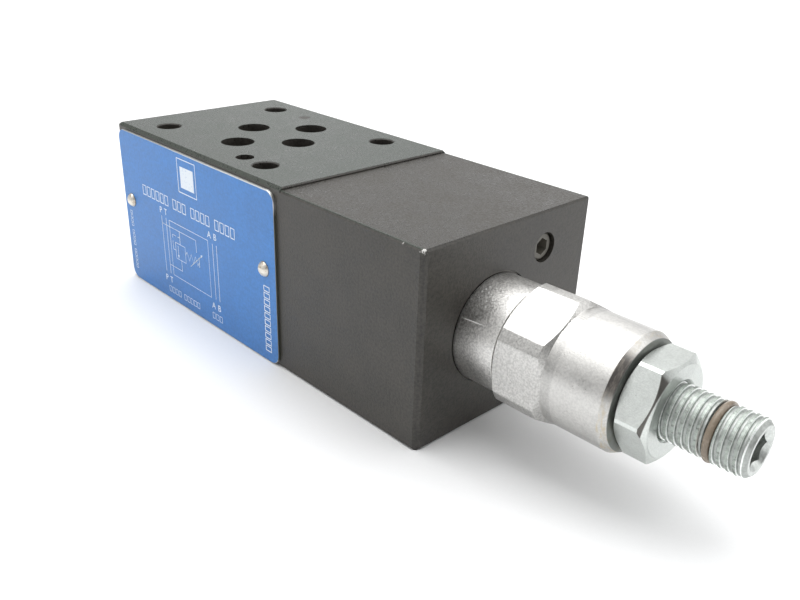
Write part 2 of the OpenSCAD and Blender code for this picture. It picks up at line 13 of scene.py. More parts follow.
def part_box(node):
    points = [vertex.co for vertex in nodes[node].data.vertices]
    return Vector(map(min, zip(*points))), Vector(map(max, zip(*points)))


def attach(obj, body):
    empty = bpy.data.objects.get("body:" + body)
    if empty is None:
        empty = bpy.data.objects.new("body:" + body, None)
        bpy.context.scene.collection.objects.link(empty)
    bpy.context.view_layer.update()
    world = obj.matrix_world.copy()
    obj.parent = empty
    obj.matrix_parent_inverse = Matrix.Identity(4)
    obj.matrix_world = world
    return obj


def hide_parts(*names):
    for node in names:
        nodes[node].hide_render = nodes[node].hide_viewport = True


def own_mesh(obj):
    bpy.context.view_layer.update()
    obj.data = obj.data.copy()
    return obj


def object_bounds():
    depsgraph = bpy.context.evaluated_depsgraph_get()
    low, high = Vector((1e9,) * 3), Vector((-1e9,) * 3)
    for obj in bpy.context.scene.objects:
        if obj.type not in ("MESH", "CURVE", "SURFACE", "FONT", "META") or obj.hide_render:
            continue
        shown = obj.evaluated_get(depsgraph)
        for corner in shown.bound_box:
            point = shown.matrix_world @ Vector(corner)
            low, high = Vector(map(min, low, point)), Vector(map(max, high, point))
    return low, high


bl_info = {
    "name": "Hydraulic sandwich valve",
    "version": (1, 0, 0),
    "blender": (4, 5, 0),
    "location": "3D View > Sidebar > Valve",
    "description": "Finishes and fine pieces of a sandwich valve with a relief cartridge",
    "category": "Object",
}

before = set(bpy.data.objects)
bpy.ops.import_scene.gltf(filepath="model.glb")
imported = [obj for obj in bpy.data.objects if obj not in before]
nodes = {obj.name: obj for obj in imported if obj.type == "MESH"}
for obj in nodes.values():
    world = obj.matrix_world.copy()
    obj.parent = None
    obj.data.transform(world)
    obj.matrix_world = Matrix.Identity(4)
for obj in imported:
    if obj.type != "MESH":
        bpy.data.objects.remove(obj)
cad_low, cad_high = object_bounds()

MM = 0.001
FULL_TURN = 2 * math.pi
# Points that lie closer than this belong together
SEAM = 1e-6
# Combined meshes are sorted by their distance from this place, off every symmetry, so that all runs agree
SORTING_POINT = (0.31, 0.73, 1.17)

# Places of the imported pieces
body_low, body_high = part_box("valve_body")
plate_low, plate_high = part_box("nameplate")
screw_low, screw_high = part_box("adjusting_screw")
nut_low, nut_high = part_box("lock_nut")
bonnet_low, bonnet_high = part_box("adjuster_bonnet")
ring_low, ring_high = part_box("screw_o_ring")
spring_low, spring_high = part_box("relief_spring")
AXIS_Y = (screw_low.y + screw_high.y) / 2
AXIS_Z = (screw_low.z + screw_high.z) / 2
# Turn of what looks out of the nameplate
FACING_OUT = (math.radians(90), 0.0, 0.0)


def length(name, description, millimetres):
    """A size in the sidebar, given in millimetres."""
    return FloatProperty(
        name=name, description=description, default=millimetres * MM, min=0.0, unit="LENGTH", precision=5
    )


def colour(name, description, shade):
    """A colour in the sidebar."""
    return FloatVectorProperty(
        name=name, description=description, default=shade, subtype="COLOR", size=3, min=0.0, max=1.0
    )


class FinishColours(PropertyGroup):
    """Base colours of the finishes."""

    phosphate: colour("Phosphate", "Coat of the machined block", (0.042, 0.0385, 0.0325))
    lapped: colour("Lapped face", "Phosphate on the port face", (0.0575, 0.067, 0.0585))
    bare_iron: colour("Bare iron", "Iron where the coat is chipped", (0.78, 0.77, 0.74))
    plate_blue: colour("Plate blue", "Print on the nameplate", (0.044, 0.2, 0.53))
    plate_edge: colour("Plate edge", "Bare edge of the nameplate", (0.62, 0.63, 0.62))
    ink: colour("Ink", "White lines of the nameplate", (0.8, 0.86, 0.92))
    rivet: colour("Rivets", "Domes of the drive rivets", (0.78, 0.74, 0.66))
    zinc: colour("Bonnet zinc", "Plating of the bonnet", (0.6, 0.593, 0.575))
    nut_zinc: colour("Nut zinc", "Plating of the nut and screw", (0.68, 0.71, 0.685))
    # Sooty film on the bonnet's bevel; on the nut's chamfer this colour is painted shade
    soot_and_shade: colour("Soot", "Dark film on the bonnet's bevel and the nut's chamfer", (0.18, 0.162, 0.145))
    worn_zinc: colour("Worn zinc", "Dull plating on the screw's thread", (0.43, 0.47, 0.435))
    stain: colour("Stain", "Yellowed plating at the bonnet's end", (0.56, 0.48, 0.33))
    black_oxide: colour("Black oxide", "Coat of the passage plug", (0.062, 0.06, 0.05))
    brown_rubber: colour("Brown rubber", "Ring on the adjusting screw", (0.235, 0.19, 0.143))
    black_rubber: colour("Black rubber", "Sealing rings", (0.018, 0.018, 0.018))
    ring_plastic: colour("Ring plastic", "Backup rings", (0.8, 0.78, 0.7))
    ground_steel: colour("Ground steel", "Inner turned pieces", (0.5, 0.5, 0.48))
    spring_steel: colour("Spring steel", "Relief spring", (0.2, 0.2, 0.19))


class CartridgeSizes(PropertyGroup):
    """Sizes of the bonnet, lock nut, adjusting screw and spring."""

    nose_r: length("Nose radius", "Radius of the nose inside the cage", 7.15)
    nose_l: length("Nose length", "Length of the nose", 6.3)
    chamber_r: length("Chamber radius", "Radius of the spring's chamber", 5.6)
    shank_r: length("Shank radius", "Radius of the shank in the body", 10.95)
    groove_at: length("Seal groove", "Distance of the seal groove behind the shoulder", 1.5)
    groove_w: length("Groove width", "Width of the seal groove", 3.4)
    groove_r: length("Groove radius", "Radius of the seal groove's floor", 9.65)
    shank_l: length("Shank length", "Length of the shank behind the shoulder", 15.45)
    neck_r: length("Neck radius", "Radius of the neck", 10.6)
    neck_l: length("Neck length", "Length of the neck, inside and outside the body", 9.6)
    undercut: length("Undercut", "Depth and width of the groove in front of the hexagon", 0.28)
    hex_flats: length("Hexagon", "Bonnet's hexagon across flats", 22.0)
    hex_turned: length("Turned corners", "Diameter that the hexagon's corners are turned to", 24.2)
    hex_face: length("Hexagon faces", "Diameter of the hexagon's round end faces", 21.2)
    hex_l: length("Hexagon length", "Length of the bonnet's hexagon", 10.3)
    sleeve_r: length("Sleeve radius", "Radius of the sleeve", 10.75)
    sleeve_end_r: length("Sleeve end", "Radius of the sleeve's end face", 9.97)
    sleeve_bevel_l: length("Sleeve bevel", "Length of the bevel at the sleeve's end", 1.4)
    end_wall: length("End wall", "Length of the threaded wall at the sleeve's end", 8.0)
    thread_r: length("Thread bore", "Radius of the threaded bores", 5.0)
    nut_flats: length("Nut", "Lock nut across flats", 17.0)
    nut_face: length("Nut faces", "Diameter of the nut's round faces", 16.0)
    nut_corner: length("Nut corner", "Width of the narrow strips along the nut's corners", 0.7)
    nut_sink: length("Nut countersink", "Depth of the countersink in the nut", 0.5)
    screw_r: length("Screw radius", "Crest radius of the screw", 4.95)
    screw_bevel: length("Screw bevel", "Bevel at the screw's ends", 0.8)
    thread_pitch: length("Pitch", "Thread pitch of the screw", 1.25)
    thread_depth: length("Thread depth", "Depth of the screw's thread", 0.5)
    thread_shift: length("Thread shift", "Place of the thread along the screw", 0.45)
    ring_groove_w: length("Ring groove", "Width of the groove for the screw's ring", 1.7)
    socket_flats: length("Socket", "Screw's hex socket across flats", 5.0)
    socket_l: length("Socket depth", "Depth of the screw's hex socket", 5.0)
    socket_mouth: length("Socket mouth", "Radius of the countersink round the socket's mouth", 3.45)
    socket_sink: length("Socket countersink", "Depth of the countersink round the socket's mouth", 0.8)
    wire_r: length("Wire", "Radius of the spring's wire", 1.0)
    coil_r: length("Coil", "Radius of the spring's coils", 4.2)
    coils: IntProperty(name="Coils", description="Turns of the spring", default=10, min=4)
    front_coils: IntProperty(
        name="Front coils", description="Turns that give way when the poppet lifts", default=2, min=2
    )
    edge: length("Edge", "Width of the broken edges", 0.12)


class PlateSizes(PropertyGroup):
    """Sizes of the nameplate and its print."""

    corner: length("Corner", "Corner radius of the plate", 2.5)
    bevel: length("Bevel", "Bevel round the plate's front", 0.12)
    rivet_rear: length("Rear rivet", "Distance of the rear rivet from the plate's rear end", 3.6)
    rivet_front: length("Front rivet", "Distance of the front rivet from the plate's front end", 4.0)
    rivet_height: length("Rivet height", "Height of the rivets above the plate's foot", 21.3)
    rivet_hole: length("Rivet hole", "Radius of the rivet holes", 1.22)
    line: length("Line", "Width of the symbol's lines", 0.18)
    cell_line: length("Cell line", "Width of the large blank cells' lines", 0.3)
    small_line: length("Small cell line", "Width of the small blank cells' lines", 0.17)
    ink_h: length("Ink height", "Height of the ink above the plate", 0.025)
    letter: length("Letter", "Size of the port letters", 2.2)


class StageSizes(PropertyGroup):
    """Camera, lights and floor."""

    lens: FloatProperty(name="Lens", description="Focal length", default=37.398, min=1.0, unit="CAMERA")
    eye: FloatVectorProperty(
        name="Eye",
        description="Place of the camera",
        default=(0.16045, -0.11268, 0.08946),
        subtype="XYZ",
        unit="LENGTH",
    )
    turn: FloatVectorProperty(
        name="Turn",
        description="Turn of the camera",
        default=[math.radians(a) for a in (64.242, -2.098, 46.0545)],
        subtype="EULER",
        unit="ROTATION",
    )
    shift: FloatVectorProperty(
        name="Shift", description="Shift of the frame", default=(-0.01072, 0.00847), size=2
    )
    floor_r: length("Floor", "Radius of the floor", 4000.0)
    floor_shade: colour("Floor shade", "Colour of the floor", (0.9, 0.905, 0.91))
    room: FloatProperty(name="Room", description="Brightness of the room", default=0.3, min=0.0)
    tent: FloatProperty(name="Light tent", description="Brightness of the tent's lights", default=1.0, min=0.0)
    tent_r: length("Tent radius", "Distance of the tent's lights", 1700.0)
    lamp_d: length("Lamp", "Diameter of each light", 1200.0)


class ValveLook(PropertyGroup):
    """All that can be set on the valve's looks."""

    colours: PointerProperty(type=FinishColours)
    cartridge: PointerProperty(type=CartridgeSizes)
    plate: PointerProperty(type=PlateSizes)
    stage: PointerProperty(type=StageSizes)


class Flow:
    """One value in a finish's node tree, so that shader maths reads as plain expressions."""

    def __init__(self, finish, socket):
        self.finish = finish
        self.socket = socket

    def maths(self, operation, *values):
        return self.finish.node("ShaderNodeMath", {"operation": operation}, dict(enumerate(values)))

    def __add__(self, other):
        return self.maths("ADD", self, other)

    def __sub__(self, other):
        return self.maths("SUBTRACT", self, other)

    def __rsub__(self, other):
        return self.maths("SUBTRACT", other, self)

    def __mul__(self, other):
        return self.maths("MULTIPLY", self, other)

    def __truediv__(self, other):
        return self.maths("DIVIDE", self, other)

    def __pow__(self, other):
        return self.maths("POWER", self, other)

    def __abs__(self):
        return self.maths("ABSOLUTE", self)

    __radd__ = __add__
    __rmul__ = __mul__

    def least(self, other):
        return self.maths("MINIMUM", self, other)

    def most(self, other):
        return self.maths("MAXIMUM", self, other)

    def rise(self, low, high):
        """0 below low, 1 above high and a smooth rise between; falls instead if high is under low."""
        ends = {1: low, 2: high, 3: 0.0, 4: 1.0} if low < high else {1: high, 2: low, 3: 1.0, 4: 0.0}
        return self.finish.node("ShaderNodeMapRange", {"interpolation_type": "SMOOTHSTEP"}, {0: self, **ends})


class Finish:
    """A material that is built up node by node on the piece's own coordinates, in millimetres."""

    def __init__(self, name):
        self.material = bpy.data.materials.new(name)
        self.material.use_nodes = True
        self.tree = self.material.node_tree
        self.tree.nodes.clear()
        self.shader = self.tree.nodes.new("ShaderNodeBsdfPrincipled")
        output = self.tree.nodes.new("ShaderNodeOutputMaterial")
        self.tree.links.new(self.shader.outputs["BSDF"], output.inputs["Surface"])
        metres = self.node("ShaderNodeTexCoord", out="Object")
        self.place = self.node("ShaderNodeVectorMath", {"operation": "SCALE"}, {0: metres, "Scale": 1 / MM})
        self.x, self.y, self.z = (
            self.node("ShaderNodeSeparateXYZ", {}, {0: self.place}, axis) for axis in "XYZ"
        )

    def node(self, kind, settings=(), inputs=(), out=0):
        """Adds a node, sets it up, fills or links its sockets, and gives one of its outputs."""
        made = self.tree.nodes.new(kind)
        for name, value in dict(settings).items():
            setattr(made, name, value)
        for name, value in dict(inputs).items():
            self.fill(made.inputs[name], value)
        return Flow(self, made.outputs[out])

    def fill(self, socket, value):
        if isinstance(value, Flow):
            self.tree.links.new(value.socket, socket)
        elif socket.type == "RGBA" and len(value) == 3:
            socket.default_value = (*value, 1.0)
        else:
            socket.default_value = value

    def noise(self, size, detail=3.0, rough=0.55, stretch=(1.0, 1.0, 1.0)):
        """Cloudy noise of a given size in millimetres, about 0.5 on average."""
        place = self.node("ShaderNodeMapping", {}, {"Vector": self.place, "Scale": stretch})
        inputs = {"Vector": place, "Scale": 1 / size, "Detail": detail, "Roughness": rough}
        return self.node("ShaderNodeTexNoise", {}, inputs)

    def grains(self, size):
        """Distance to the nearest of many scattered points, in shares of size."""
        return self.node("ShaderNodeTexVoronoi", {}, {"Vector": self.place, "Scale": 1 / size})

    def mix(self, first, second, share):
        return self.node("ShaderNodeMix", {"data_type": "RGBA"}, {0: share, 6: first, 7: second}, 2)

    def tint(self, shade, value):
        """A colour made lighter or darker by a value."""
        return self.node("ShaderNodeVectorMath", {"operation": "SCALE"}, {0: shade, "Scale": value})

    def away(self, *point):
        """Distance from a point, in millimetres."""
        return self.node("ShaderNodeVectorMath", {"operation": "DISTANCE"}, {0: self.place, 1: point}, "Value")

    def across(self):
        """Place from the cartridge axis, sideways and upwards, in millimetres."""
        return self.y - AXIS_Y / MM, self.z - AXIS_Z / MM

    def off_axis(self):
        """Distance from the cartridge axis, in millimetres."""
        sideways, upwards = self.across()
        return (sideways * sideways + upwards * upwards) ** 0.5

    def towards(self, degrees):
        """How well a place lies in one direction from the cartridge axis: 1 there, 0 at right angles."""
        sideways, upwards = self.across()
        angle = math.radians(degrees)
        return (math.cos(angle) * upwards - math.sin(angle) * sideways) / self.off_axis()

    def surface(self, **sockets):
        """Fills the shader's sockets; a bump is a (height, depth in millimetres) pair."""
        for name, value in sockets.items():
            if name == "bump":
                height, depth = value
                bump = self.node("ShaderNodeBump", {}, {"Height": height, "Distance": depth * MM})
                self.fill(self.shader.inputs["Normal"], bump)
            else:
                self.fill(self.shader.inputs[name.replace("_", " ").title()], value)
        return self.material


def phosphated_iron(colours):
    """Dark satin phosphate with fine grain, a paler lapped port face, oily edges and a few bright chips."""
    finish = Finish("phosphated_iron")
    x, y, z = finish.x, finish.y, finish.z
    grain = finish.noise(0.5, 3.0, 0.7).rise(0.3, 0.7)
    cloud = finish.noise(7.0, 4.0).rise(0.3, 0.7)
    front, near, port_face = body_high.x / MM, body_low.y / MM, body_high.z / MM
    ends = (x - body_low.x / MM).least(front - x)
    sides = body_high.y / MM - abs(y)
    heights = z.least(port_face - z)
    edge_depth = ends.least(sides).most(ends.most(sides).least(heights))
    oily = edge_depth.rise(0.8, 0.5) * finish.noise(1.6, 4.0).rise(0.2, 0.5)
    lapped = z.rise(port_face - 0.1, port_face - 0.02)
    upper = z.rise(port_face - 0.8, port_face - 0.65)
    coat = finish.mix(colours.phosphate, colours.lapped, lapped)
    coat = finish.tint(coat, 0.5 + 0.72 * grain + 0.28 * cloud - 0.2 * oily)
    olive = sides.rise(0.72, 0.66) * z.rise(port_face - 0.8, port_face - 0.68)
    coat = finish.mix(coat, finish.tint((0.032, 0.047, 0.034), 0.6 + 0.8 * grain), 0.6 * olive)
    speck = finish.noise(0.4, 4.0, 0.7)
    block_top = port_face - 0.6
    chips = (finish.away(front - 0.3, near + 0.3, block_top - 0.25) + 2.8 * speck).rise(1.94, 1.72)
    chips = chips.most((finish.away(front - 5.2, near + 0.3, block_top - 0.35) + 1.8 * speck).rise(1.12, 0.92))
    chips = chips.most((finish.away(front - 0.1, near + 5.6, block_top - 0.9) + 1.4 * speck).rise(0.8, 0.65))
    uneven = (0.05 + 0.1 * upper) * (cloud - 0.5) + (0.1 + 0.3 * upper) * (grain - 0.5)
    return finish.surface(
        base_color=finish.mix(coat, colours.bare_iron, chips),
        roughness=0.42 - 0.04 * lapped + uneven,
        metallic=chips,
        bump=((1.0 + 1.5 * upper) * grain + chips, 0.02),
    )


def blue_print(colours, sizes):
    """Satin blue on thin aluminium, bare along the plate's edge, with faint drawing lines and dust; painted
    shade on the bare edge at the front end and a painted highlight along the head.
    """
    finish = Finish("blue_print")
    middle = (plate_low + plate_high) / 2 / MM
    size = (plate_high - plate_low) / 2 / MM
    corner = sizes.corner / MM
    over_x = (abs(finish.x - middle.x) - (size.x - corner)).most(0.0)
    over_z = (abs(finish.z - middle.z) - (size.z - corner)).most(0.0)
    inset = corner - (over_x * over_x + over_z * over_z) ** 0.5
    rubbed = finish.noise(1.2, 4.0)
    end, head = plate_high.x / MM, plate_high.z / MM
    # Painted highlight: the bare edge is drawn wider along the right part of the plate's head
    upper = finish.z.rise(head - 1.2, head - 0.6) * finish.x.rise(-12.0, 8.0)
    edge = (inset + 0.12 * rubbed - 0.12 * upper).rise(0.2, 0.1)
    # Painted shade: the bare edge along the plate's front end, below its head, is painted dark
    shaded = finish.x.rise(end - 0.4, end - 0.2) * finish.z.rise(head - 2.6, head - 5.3)
    rim = finish.mix(colours.plate_edge, (0.13, 0.14, 0.105), 0.85 * shaded)
    drawn = finish.noise(0.5, 3.0, stretch=(0.08, 1.0, 1.0))
    cloud = finish.noise(9.0, 4.0)
    dust = finish.grains(1.7).rise(0.1, 0.05) * finish.noise(4.0).rise(0.55, 0.65)
    # The blue is made darker towards the plate's foot
    low = finish.z.rise(14.0, 2.0)
    grain = finish.noise(0.6, 3.0, 0.65).rise(0.3, 0.7)
    blue = finish.tint(colours.plate_blue, 0.7 + 0.2 * drawn + 0.24 * cloud + 0.18 * grain - 0.08 * low)
    blue = finish.mix(blue, (0.03, 0.05, 0.09), 0.5 * dust)
    return finish.surface(
        base_color=finish.mix(blue, rim, edge),
        metallic=edge,
        roughness=0.34 + 0.1 * drawn + 0.12 * (cloud - 0.5),
        bump=(drawn, 0.006),
    )


def white_ink(colours):
    """Matt white ink that has rubbed thin in places."""
    finish = Finish("white_ink")
    thin = finish.noise(0.5, 3.0).rise(0.56, 0.76)
    return finish.surface(
        base_color=finish.mix(colours.ink, colours.plate_blue, 0.45 * thin),
        roughness=0.5 + 0.1 * thin,
    )


def bright_rivet(colours):
    """Bright hammered dome, with a little grime and painted shade round its foot."""
    finish = Finish("bright_rivet")
    cloud = finish.noise(0.9, 3.0)
    foot = plate_low.y / MM
    # Painted shade and a little grime round the dome's foot, where it meets the plate
    dirt_and_painted_light = finish.y.rise(foot - 0.2, foot - 0.02) * finish.noise(0.6, 3.0).rise(0.15, 0.4)
    brown = finish.mix(colours.rivet, (0.42, 0.34, 0.25), 0.8 * finish.noise(0.9, 3.0).rise(0.52, 0.64))
    return finish.surface(
        base_color=finish.mix(finish.tint(brown, 0.85 + 0.3 * cloud), (0.08, 0.075, 0.06), dirt_and_painted_light),
        metallic=1.0 - 0.7 * dirt_and_painted_light,
        roughness=0.3 + 0.2 * cloud,
        bump=(cloud, 0.02),
    )


def plated_bonnet(colours, hexagon, hex_end):
    """Bright zinc on turned steel: grainy, lightly pitted, sooty at the bevel, dull on the end face, with
    painted shade, reflection, light and glints in places.
    """
    finish = Finish("plated_bonnet")
    x, radius = finish.x, finish.off_axis()
    # The neck's foot just inside the body, and the sleeve's end
    root, end = body_high.x / MM - 0.2, bonnet_high.x / MM
    mottle = finish.noise(2.6, 5.0, 0.62)
    fine = finish.noise(0.4, 3.0, 0.65).rise(0.32, 0.68)
    turning = finish.noise(0.16, 2.0, stretch=(1.0, 0.03, 0.03))
    worn = (finish.away(76.0, -9.4, 28.6) + 4.0 * mottle).rise(5.5, 4.0)
    worn = worn.most((finish.away(77.4, -14.3, 21.5) + 2.5 * mottle).rise(2.6, 1.8))
    pits = finish.grains(0.55).rise(0.3, 0.12) * finish.noise(1.3, 3.0).rise(0.45, 0.55)
    pits = pits * worn.most(0.6 * finish.noise(4.0, 2.0).rise(0.55, 0.65))
    bevel = x.rise(end - 1.45, end - 1.35)
    streaks = finish.noise(0.5, 3.0, 0.6, stretch=(1.0, 0.25, 0.25)).rise(0.42, 0.66)
    stained = x.rise(end - 1.8, end - 1.3) * streaks
    # A real scratch, painted white and less metallic so that it shows bright as a glint
    scratch = abs(finish.z - 0.055 * x - 20.43) + 0.4 * abs(mottle - 0.5)
    scratch = scratch.rise(0.16, 0.06) * finish.y.rise(-12.3, -12.7) * x.rise(root + 0.2, root + 1.4)
    scratch = scratch * x.rise(80.4, 77.6)
    # Painted glints: white specks in the worn patches
    painted_glints = worn * finish.grains(0.8).rise(0.3, 0.2) * finish.noise(1.1, 3.0).rise(0.38, 0.5)
    neck = x.rise(hexagon, hexagon - 0.4)
    flats = x.rise(hexagon, hexagon + 0.3) * x.rise(hex_end + 0.1, hex_end - 0.2)
    # Painted shade: the cone from the hexagon to the sleeve is darkened
    cone = x.rise(hex_end - 0.1, hex_end + 0.2) * x.rise(95.5, 95.0) * radius.rise(10.05, 10.2)
    # Painted shade: the neck's upper side near the hexagon is darkened to dim its highlight
    dimmed_neck_highlight = x.rise(76.5, 80.0) * neck * finish.towards(18.0).rise(0.85, 0.97)
    # Painted reflection: the neck's upper near side, close to the body, is darkened as if it mirrored the
    # body's dark end face
    film = x.rise(80.0, 74.5) * finish.towards(55.0).rise(0.8, 0.97)
    # Painted light: a lighter band along the neck's near side
    lit = neck * finish.towards(84.0).rise(0.93, 0.995)
    # Painted shadow: a dark line where the neck enters the body
    foot = x.rise(root + 0.15, root)
    # Painted shade: the sleeve's end face, which faces the nut, is darkened; its extra roughness is real
    dull = x.rise(end - 0.12, end - 0.02) * radius.rise(5.0, 5.4)
    soot_and_shade = bevel * finish.towards(50.0).rise(0.88, 0.985)
    corner = radius.rise(11.95, 12.05)
    # Painted shade on the lower flats; the stain is also heavier on this side
    under = finish.towards(120.0).rise(0.7, 0.9)
    specks = finish.grains(0.7).rise(0.2, 0.1) * finish.noise(1.6, 3.0).rise(0.5, 0.6)
    light = 0.81 + 0.2 * mottle + 0.18 * fine + (0.16 * flats + 0.3 * neck) * (fine - 0.5) + 0.18 * neck
    light = light - 0.22 * film + 0.12 * lit - 0.14 * dimmed_neck_highlight - 0.16 * cone
    zinc = finish.tint(colours.zinc, light - 0.16 * specks - 0.14 * corner - 0.07 * flats * under)
    zinc = finish.mix(zinc, colours.stain, (0.25 + 0.4 * under) * stained)
    sooty = finish.tint(colours.soot_and_shade, 0.5 + 0.8 * streaks)
    zinc = finish.mix(zinc, sooty, 0.9 * soot_and_shade)
    zinc = finish.mix(zinc, (0.25, 0.235, 0.215), 0.75 * pits)
    bare = scratch.most(0.85 * painted_glints)
    zinc = finish.mix(zinc, (0.9, 0.9, 0.88), bare)
    zinc = finish.mix(zinc, (0.07, 0.066, 0.058), 0.9 * foot)
    return finish.surface(
        base_color=finish.mix(zinc, (0.2, 0.215, 0.2), 0.85 * dull),
        metallic=1.0 - 0.6 * bare,
        roughness=0.2 + 0.2 * mottle + 0.08 * (fine + stained) + 0.12 * bevel + 0.1 * dull + 0.06 * neck,
        bump=((0.35 + 0.4 * flats) * fine + 0.3 * turning - 0.9 * pits + 0.5 * scratch, 0.025),
    )


def plated_nut(colours, face_r):
    """Cool zinc of the lock nut, with fine marks and painted shade on the chamfer that faces the user."""
    finish = Finish("plated_nut")
    radius = finish.off_axis()
    mottle = finish.noise(1.8, 4.0, 0.6)
    fine = finish.noise(0.3, 3.0, 0.6).rise(0.3, 0.7)
    specks = finish.grains(0.9).rise(0.12, 0.05) * finish.noise(2.2).rise(0.52, 0.66)
    end = nut_high.x / MM
    cone = finish.x - end + math.tan(math.radians(30)) * (radius - face_r)
    wedge = radius - 1.9 * (1.0 - finish.towards(35.0))
    # Painted shade on the chamfer that faces the user
    soot_and_shade = cone.rise(-0.2, -0.1) * wedge.rise(face_r, face_r + 0.2) * finish.towards(120.0).rise(-0.05, 0.08)
    # Painted shade: the nut's front face and its upper flat are darkened
    face = finish.x.rise(end - 0.15, end - 0.05)
    shaded_top_flat = finish.towards(0.0).rise(0.84, 0.88)
    light = 0.83 + 0.22 * mottle + 0.12 * fine - (0.14 * face).most(0.2 * shaded_top_flat)
    zinc = finish.tint(colours.nut_zinc, light)
    zinc = finish.mix(zinc, (0.3, 0.32, 0.29), 0.7 * specks)
    return finish.surface(
        base_color=finish.mix(zinc, finish.tint(colours.soot_and_shade, 0.25 + 0.45 * mottle), 0.92 * soot_and_shade),
        metallic=1.0,
        roughness=0.26 + 0.2 * mottle,
        bump=(fine - specks, 0.012),
    )


def plated_screw(colours):
    """Cool zinc of the adjusting screw, dull and marked on the thread's crests, with painted highlights along
    their edges.
    """
    finish = Finish("plated_screw")
    radius = finish.off_axis()
    mottle = finish.noise(0.7, 4.0, 0.65).rise(0.3, 0.7)
    fine = finish.noise(0.22, 3.0)
    crest_r = (screw_high.z - AXIS_Z) / MM
    crest = radius.rise(crest_r - 0.025, crest_r - 0.01)
    # Painted light: nearer than 4 mm to the axis, in the socket and round its mouth, the zinc is kept brighter
    outside = radius.rise(4.0, 4.1)
    marks = finish.noise(0.5, 3.0, 0.6, stretch=(0.35, 1.0, 1.0)).rise(0.54, 0.64)
    # Painted highlights: bright lines along the crests' edges
    edges = radius.rise(crest_r - 0.25, crest_r - 0.17) * radius.rise(crest_r, crest_r - 0.02)
    zinc = finish.tint(colours.nut_zinc, (0.84 - 0.18 * outside + 0.8 * edges) * (0.8 + 0.4 * mottle))
    worn = finish.tint(colours.worn_zinc, 0.7 + 0.5 * mottle - 0.35 * marks)
    return finish.surface(
        base_color=finish.mix(zinc, worn, crest),
        metallic=1.0,
        roughness=0.3 + 0.12 * mottle + 0.17 * outside,
        bump=(fine, 0.02),
    )


def oxide_steel(colours):
    """Dull oxide of the passage plug, paler down in its socket: a little grease and painted light."""
    finish = Finish("oxide_steel")
    cloud = finish.noise(1.2, 4.0)
    front = body_high.x / MM
    # Painted light, with a little grease: the socket's depths get a paler colour
    dirt_and_painted_light = finish.x.rise(front - 0.4, front - 0.9)
    oxide = finish.tint(colours.black_oxide, 0.7 + 0.6 * cloud)
    return finish.surface(
        base_color=finish.mix(oxide, (0.17, 0.16, 0.135), dirt_and_painted_light),
        roughness=0.35 + 0.25 * cloud,
        bump=(finish.noise(0.2, 2.0), 0.015),
    )


def turned_steel(name, shade):
    """Ground or drawn steel with fine turning marks along the cartridge axis and a film of oil."""
    finish = Finish(name)
    marks = finish.noise(0.14, 2.0, stretch=(1.0, 0.03, 0.03))
    cloud = finish.noise(2.4, 3.0)
    return finish.surface(
        base_color=finish.tint(shade, 0.8 + 0.2 * marks + 0.2 * cloud),
        metallic=1.0,
        roughness=0.22 + 0.2 * cloud,
        bump=(marks, 0.012),
    )


def soft_ring(name, shade, rough):
    """Rubber or plastic of a sealing ring, with a fine bloom."""
    finish = Finish(name)
    bloom = finish.noise(0.8, 4.0)
    return finish.surface(
        base_color=finish.tint(shade, 0.75 + 0.5 * bloom),
        roughness=rough + 0.16 * (bloom - 0.5),
        bump=(finish.noise(0.15, 2.0), 0.012),
    )


def studio_floor(shade):
    """Pale paper with the faintest tooth."""
    finish = Finish("studio_floor")
    tooth = finish.noise(0.8, 3.0)
    return finish.surface(
        base_color=finish.tint(shade, 0.985 + 0.03 * tooth), roughness=0.75, bump=(tooth, 0.01)
    )


def take_up(piece):
    """Makes a piece the only one that operators act on."""
    bpy.ops.object.select_all(action="DESELECT")
    piece.select_set(True)
    bpy.context.view_layer.objects.active = piece
    return piece


def named(name):
    """Names the piece that was just added."""
    piece = bpy.context.object
    piece.name = piece.data.name = name
    return piece


def added(name, operator, **settings):
    """Adds a piece by one of Blender's operators, on its own."""
    bpy.ops.object.select_all(action="DESELECT")
    operator(**settings)
    return named(name)


@contextmanager
def whole_mesh():
    """Edit mode with all of the active piece's mesh selected."""
    bpy.ops.object.mode_set(mode="EDIT")
    bpy.ops.mesh.select_all(action="SELECT")
    yield
    bpy.ops.object.mode_set(mode="OBJECT")


def turn_outwards():
    """In edit mode, turns all faces outwards."""
    bpy.ops.mesh.select_all(action="SELECT")
    bpy.ops.mesh.normals_make_consistent(inside=False)


def select_edges(piece, wanted):
    """In edit mode, selects the edges whose two ends are wanted."""
    bpy.ops.mesh.select_mode(type="EDGE")
    bpy.ops.mesh.select_all(action="DESELECT")
    bpy.ops.object.mode_set(mode="OBJECT")
    points = piece.data.vertices
    for edge in piece.data.edges:
        edge.select = wanted(*(points[i] for i in edge.vertices))
    bpy.ops.object.mode_set(mode="EDIT")


def settle(piece):
    """Moves a piece's place, turn and size into its mesh."""
    take_up(piece)
    bpy.ops.object.transform_apply(location=True, rotation=True, scale=True)
    return piece


def outlined(name, points):
    """A closed wire loop through points, from a circle that is bent to them."""
    loop = added(name, bpy.ops.mesh.primitive_circle_add, vertices=len(points), radius=MM, fill_type="NOTHING")
    for vertex, point in zip(loop.data.vertices, points):
        vertex.co = point
    return loop


def turned(name, outline, steps=144, start=0.0):
    """Spins a closed outline of (place along the axis, radius) points about the cartridge axis."""
    towards = Vector((0.0, -math.sin(start), math.cos(start)))
    centre = Vector((0.0, AXIS_Y, AXIS_Z))
    piece = outlined(name, [centre + Vector((x, 0.0, 0.0)) + r * towards for x, r in outline])
    with whole_mesh():
        bpy.ops.mesh.spin(steps=steps, angle=FULL_TURN, center=centre, axis=(1.0, 0.0, 0.0))
        bpy.ops.mesh.select_all(action="SELECT")
        bpy.ops.mesh.remove_doubles(threshold=SEAM)
        bpy.ops.mesh.delete_loose()
        turn_outwards()
    return piece


